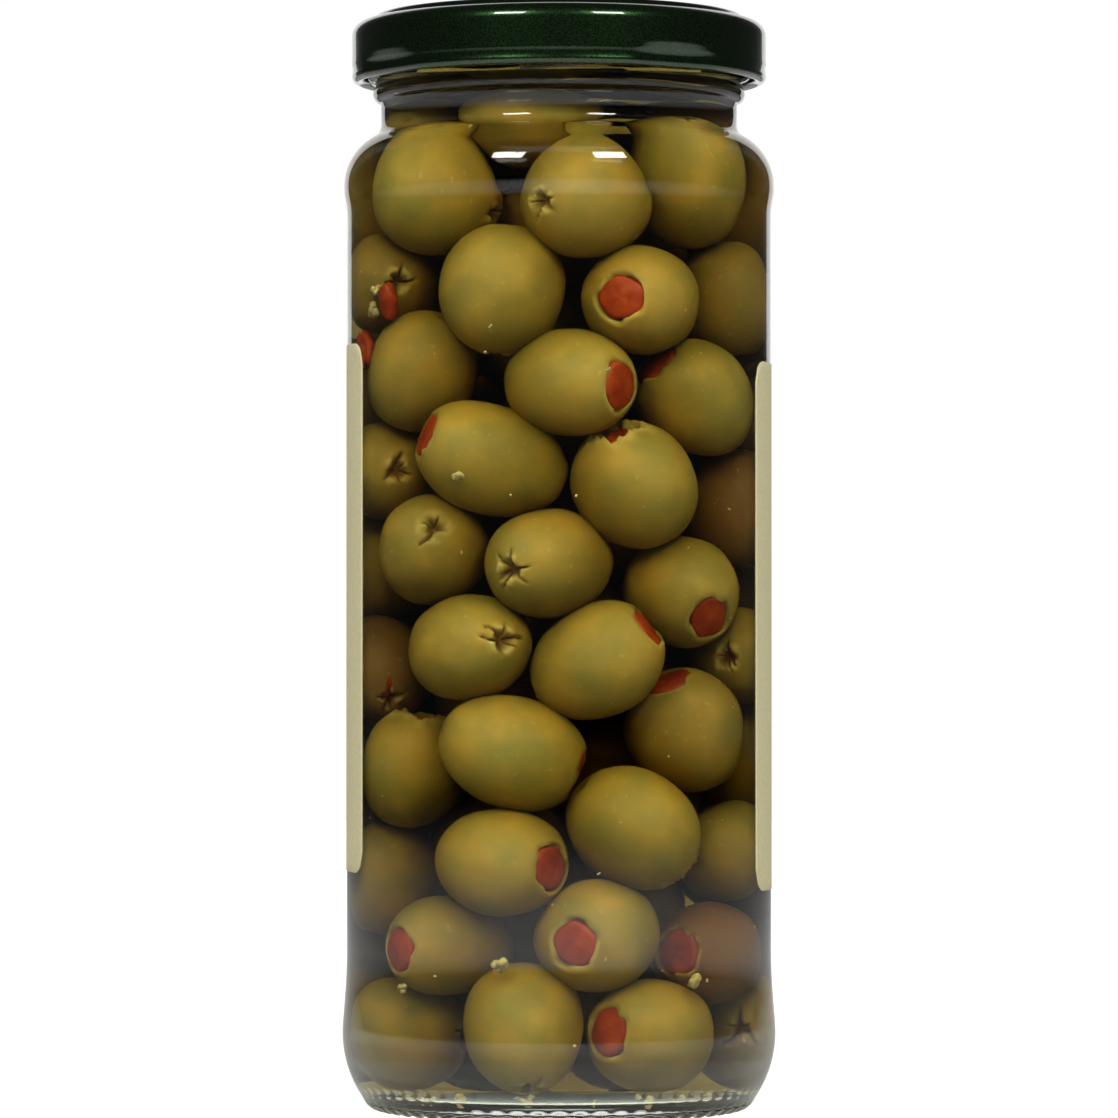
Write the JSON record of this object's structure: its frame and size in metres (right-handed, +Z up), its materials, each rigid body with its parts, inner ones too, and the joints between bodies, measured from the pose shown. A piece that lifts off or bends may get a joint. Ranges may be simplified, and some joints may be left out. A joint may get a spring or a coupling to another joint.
{
  "type": "jar of olives",
  "caption": "Tall round glass jar of red-stuffed green olives in brine, shut with a dark green metal lug lid, with a plain paper label round the back.",
  "frame": {"origin": "middle of the base, at the height it stands on", "axes": "+Z up, from the base to the lid; -Y towards the side free of the label, +Y towards the middle of the label"},
  "size_m": [0.0692, 0.0692, 0.1748],
  "materials": {
    "glass": "clear soda-lime glass, faintly green where thick",
    "lid_lacquer": "dark green metallic lacquer, glossy",
    "olives_in_brine": "wet, khaki green olives in yellow-brown brine",
    "label_paper": "uncoated cream paper"
  },
  "bodies": {
    "root": {"jar": "glass", "lid": "lid_lacquer", "olives_in_brine": "olives_in_brine", "label": "label_paper"}
  },
  "joints": []
}
